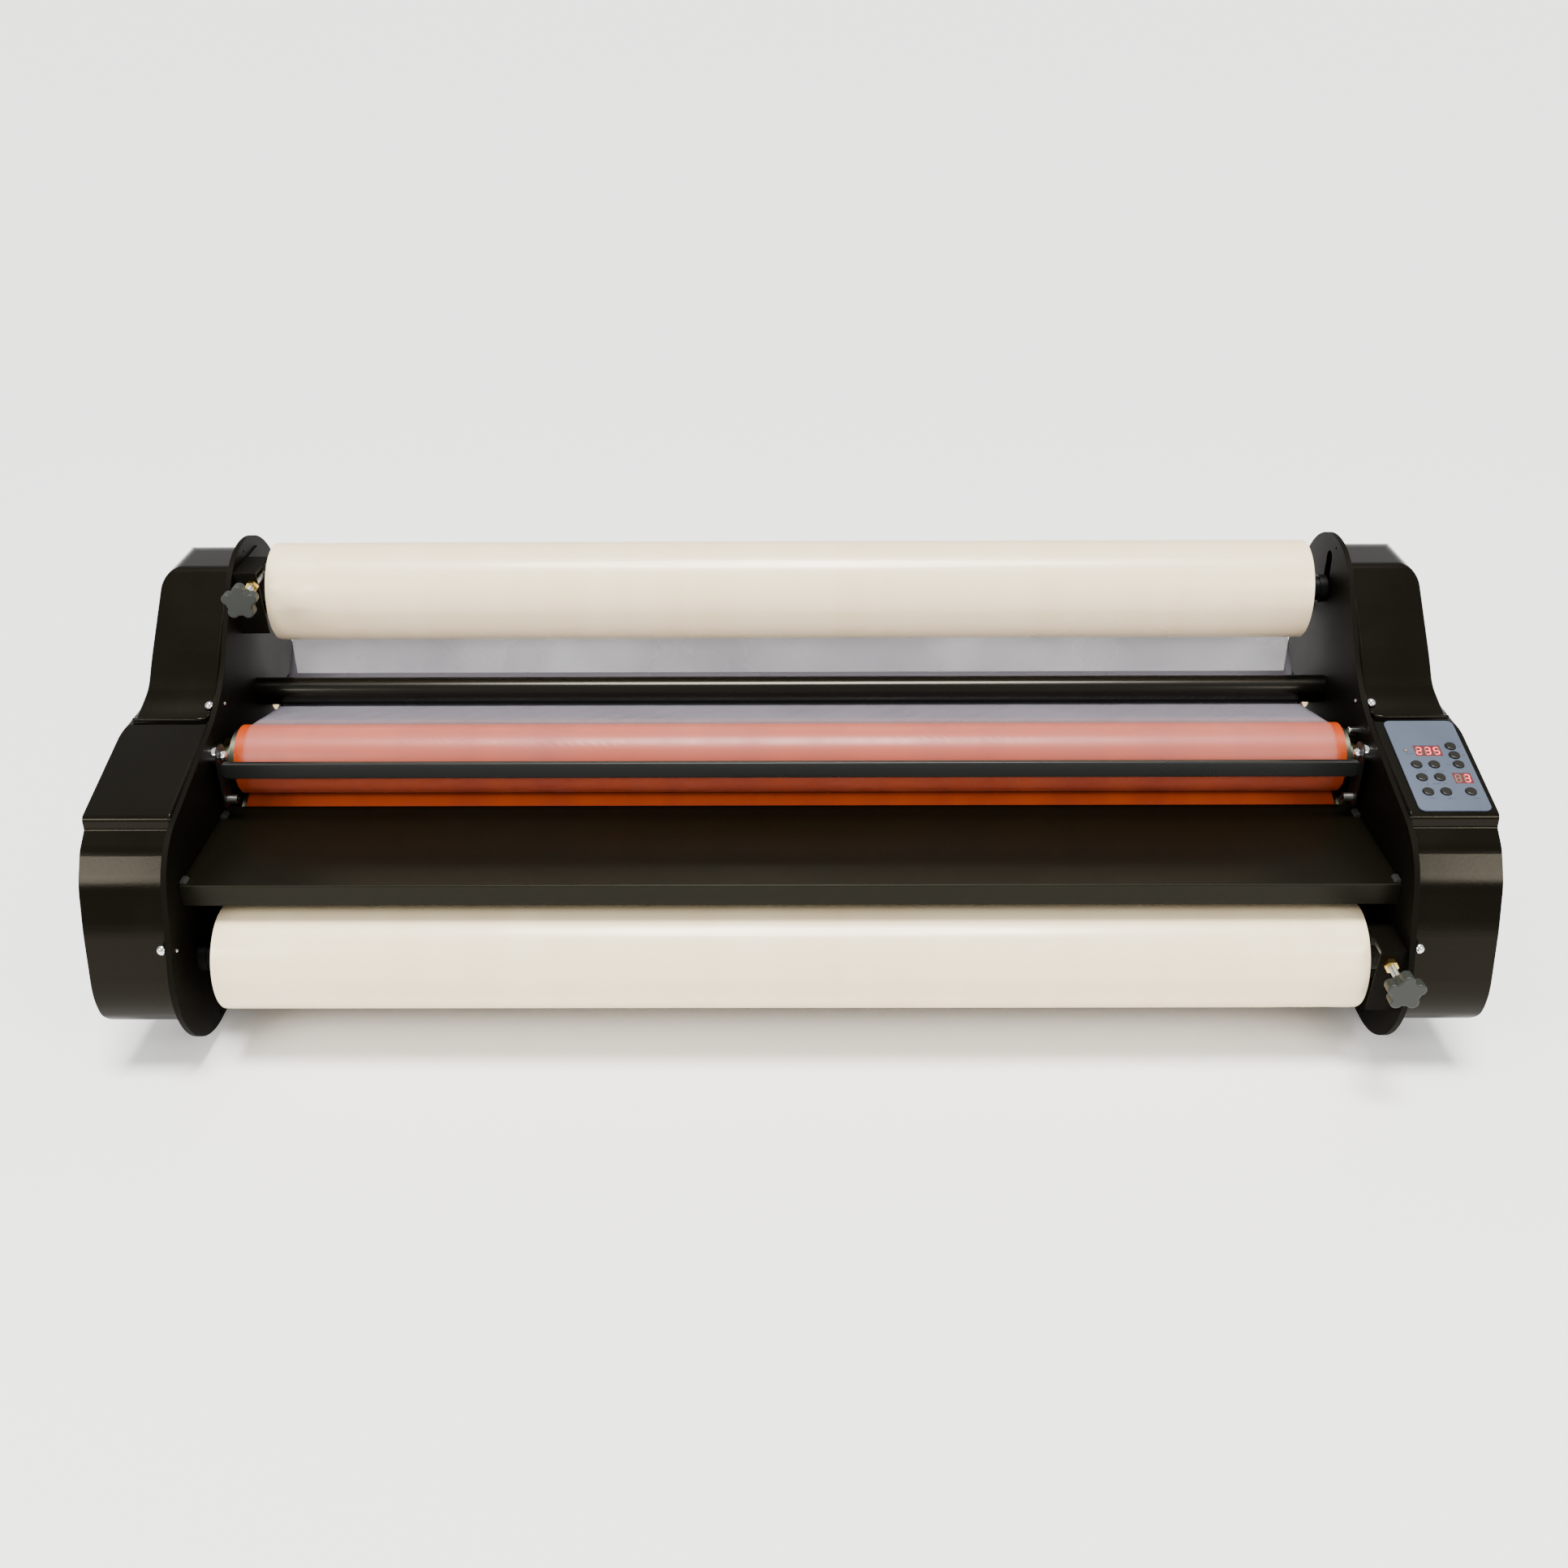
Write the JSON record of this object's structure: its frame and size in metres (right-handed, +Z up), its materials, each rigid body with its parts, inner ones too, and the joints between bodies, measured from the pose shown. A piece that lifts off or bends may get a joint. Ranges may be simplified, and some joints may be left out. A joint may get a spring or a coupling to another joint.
{
  "type": "heated roll laminator",
  "caption": "Table-top heated roll laminator: two film supply rolls between side plates, orange silicone nip rollers, feed table, hinged nip guard and a keypad on the right-hand cover.",
  "frame": {"origin": "under the middle of the machine's overall box, on the surface that its feet stand on", "axes": "+X to the operator's right along the rollers, +Y to the back (film travels this way), +Z up"},
  "size_m": [1.2476, 0.4842, 0.3856],
  "materials": {
    "black_steel": "satin black powder coat",
    "black_gloss": "glossy vacuum-formed shell",
    "bright_steel": "bright turned steel",
    "black_rubber": "matt rubber",
    "chrome": "polished",
    "table_black": "satin black powder coat",
    "grey_clip": "moulded",
    "guard_black": "semi-gloss black",
    "orange_silicone": "smooth satin silicone",
    "brass": "plain",
    "gear_steel": "machined",
    "motor_grey": "satin",
    "shaft_black": "black",
    "core_card": "wound card",
    "film_roll": "smooth wound film",
    "felt": "felt-lined strap",
    "knob_grey": "moulded",
    "idler_black": "gloss black tube",
    "clear_film": "clear film",
    "panel_blue": "printed membrane",
    "display_red": "red window",
    "board_green": "circuit board",
    "inlet_black": "moulded",
    "key_black": "domed key"
  },
  "bodies": {
    "frame": {"base_pan": "black_steel", "brake_bands": "felt", "brake_brackets": "black_steel", "brass_nuts": "brass", "control_board": "board_green", "cover_screws": "chrome", "cross_rods": "bright_steel", "display_windows": "display_red", "drive_chain": "gear_steel", "drive_motor": "motor_grey", "frame_screws": "bright_steel", "guard_pins": "chrome", "heater_rods": "bright_steel", "left_side_cover": "black_gloss", "left_side_plate": "black_steel", "lower_film_web": "clear_film", "panel_overlay": "panel_blue", "power_inlet": "inlet_black", "rear_panel": "black_steel", "right_side_cover": "black_gloss", "right_side_plate": "black_steel", "roller_bushes": "brass", "rubber_feet": "black_rubber", "upper_film_web": "clear_film"},
    "table": {"feed_table": "table_black", "table_clips": "grey_clip"},
    "guard": {"guard_bar": "guard_black", "guard_ears": "guard_black"},
    "upper_heat": {"upper_heat_roller": "bright_steel", "upper_roller_sleeve": "orange_silicone", "upper_roller_gear": "gear_steel"},
    "lower_heat": {"lower_heat_roller": "bright_steel", "lower_roller_sleeve": "orange_silicone", "lower_roller_gear": "gear_steel"},
    "upper_pull": {"upper_pull_roller": "black_rubber"},
    "lower_pull": {"lower_pull_roller": "black_rubber"},
    "motor_shaft": {"motor_sprocket": "gear_steel"},
    "upper_supply": {"upper_supply_shaft": "shaft_black", "upper_core_tube": "core_card", "upper_film_roll": "film_roll"},
    "lower_supply": {"lower_supply_shaft": "shaft_black", "lower_core_tube": "core_card", "lower_film_roll": "film_roll"},
    "upper_idler": {"upper_idler_bar": "idler_black"},
    "lower_idler": {"lower_idler_bar": "idler_black"},
    "upper_knob": {"upper_tension_knob": "knob_grey", "upper_tension_rod": "bright_steel"},
    "lower_knob": {"lower_tension_knob": "knob_grey", "lower_tension_rod": "bright_steel"},
    "switch": {"power_switch": "inlet_black"},
    "key_01": {"button_01": "key_black"},
    "key_02": {"button_02": "key_black"},
    "key_03": {"button_03": "key_black"},
    "key_04": {"button_04": "key_black"},
    "key_05": {"button_05": "key_black"},
    "key_06": {"button_06": "key_black"},
    "key_07": {"button_07": "key_black"},
    "key_08": {"button_08": "key_black"},
    "key_09": {"button_09": "key_black"},
    "key_10": {"button_10": "key_black"}
  },
  "joints": [
    {"name": "table_slide", "type": "slide", "parent": "frame", "child": "table", "axis": [0, -1, 0], "range_m": [0, 0.1]},
    {"name": "guard_hinge", "type": "hinge", "parent": "frame", "child": "guard", "pos_m": [0, -0.03185, 0.242], "axis": [-1, 0, 0], "range_deg": [0, 230]},
    {"name": "lower_heat_spin", "type": "hinge", "parent": "frame", "child": "lower_heat", "pos_m": [0, 0.00845, 0.1496], "axis": [1, 0, 0], "continuous": true},
    {"name": "upper_heat_spin", "type": "hinge", "parent": "frame", "child": "upper_heat", "pos_m": [0, 0.00845, 0.217], "axis": [1, 0, 0], "continuous": true},
    {"name": "lower_pull_spin", "type": "hinge", "parent": "frame", "child": "lower_pull", "pos_m": [0, 0.16315, 0.15755], "axis": [1, 0, 0], "continuous": true},
    {"name": "upper_pull_spin", "type": "hinge", "parent": "frame", "child": "upper_pull", "pos_m": [0, 0.16315, 0.20855], "axis": [1, 0, 0], "continuous": true},
    {"name": "motor_spin", "type": "hinge", "parent": "frame", "child": "motor_shaft", "pos_m": [0, 0.09515, 0.083], "axis": [1, 0, 0], "continuous": true},
    {"name": "upper_supply_spin", "type": "hinge", "parent": "frame", "child": "upper_supply", "pos_m": [0, 0.15955, 0.3288], "axis": [1, 0, 0], "continuous": true},
    {"name": "lower_supply_spin", "type": "hinge", "parent": "frame", "child": "lower_supply", "pos_m": [0, -0.14115, 0.0922], "axis": [1, 0, 0], "continuous": true},
    {"name": "upper_idler_spin", "type": "hinge", "parent": "frame", "child": "upper_idler", "pos_m": [0, 0.11615, 0.238], "axis": [1, 0, 0], "continuous": true},
    {"name": "lower_idler_spin", "type": "hinge", "parent": "frame", "child": "lower_idler", "pos_m": [0, -0.06885, 0.116], "axis": [1, 0, 0], "continuous": true},
    {"name": "upper_knob_turn", "type": "hinge", "parent": "frame", "child": "upper_knob", "pos_m": [-0.522, 0.06455, 0.3568], "axis": [0, -1, 0], "continuous": true},
    {"name": "lower_knob_turn", "type": "hinge", "parent": "frame", "child": "lower_knob", "pos_m": [0.5265, -0.23615, 0.1202], "axis": [0, -1, 0], "continuous": true},
    {"name": "switch_rock", "type": "hinge", "parent": "frame", "child": "switch", "pos_m": [0.4805, 0.23215, 0.088], "axis": [-1, 0, 0], "range_deg": [0, 14]},
    {"name": "key_01_press", "type": "slide", "parent": "frame", "child": "key_01", "axis": [0, 0.2367, -0.9716], "range_m": [0, 0.0012], "stiffness_N_per_m": 400},
    {"name": "key_02_press", "type": "slide", "parent": "frame", "child": "key_02", "axis": [0, 0.2367, -0.9716], "range_m": [0, 0.0012], "stiffness_N_per_m": 400},
    {"name": "key_03_press", "type": "slide", "parent": "frame", "child": "key_03", "axis": [0, 0.2367, -0.9716], "range_m": [0, 0.0012], "stiffness_N_per_m": 400},
    {"name": "key_04_press", "type": "slide", "parent": "frame", "child": "key_04", "axis": [0, 0.2367, -0.9716], "range_m": [0, 0.0012], "stiffness_N_per_m": 400},
    {"name": "key_05_press", "type": "slide", "parent": "frame", "child": "key_05", "axis": [0, 0.2367, -0.9716], "range_m": [0, 0.0012], "stiffness_N_per_m": 400},
    {"name": "key_06_press", "type": "slide", "parent": "frame", "child": "key_06", "axis": [0, 0.2367, -0.9716], "range_m": [0, 0.0012], "stiffness_N_per_m": 400},
    {"name": "key_07_press", "type": "slide", "parent": "frame", "child": "key_07", "axis": [0, 0.2367, -0.9716], "range_m": [0, 0.0012], "stiffness_N_per_m": 400},
    {"name": "key_08_press", "type": "slide", "parent": "frame", "child": "key_08", "axis": [0, 0.2367, -0.9716], "range_m": [0, 0.0012], "stiffness_N_per_m": 400},
    {"name": "key_09_press", "type": "slide", "parent": "frame", "child": "key_09", "axis": [0, 0.2367, -0.9716], "range_m": [0, 0.0012], "stiffness_N_per_m": 400},
    {"name": "key_10_press", "type": "slide", "parent": "frame", "child": "key_10", "axis": [0, 0.2367, -0.9716], "range_m": [0, 0.0012], "stiffness_N_per_m": 400}
  ],
  "couplings": [
    {"joint": "upper_heat_spin", "follows": "lower_heat_spin", "ratio": -1},
    {"joint": "lower_pull_spin", "follows": "lower_heat_spin", "ratio": 1.3125},
    {"joint": "upper_pull_spin", "follows": "lower_heat_spin", "ratio": -1.3125},
    {"joint": "motor_spin", "follows": "lower_heat_spin", "ratio": 1.5}
  ]
}
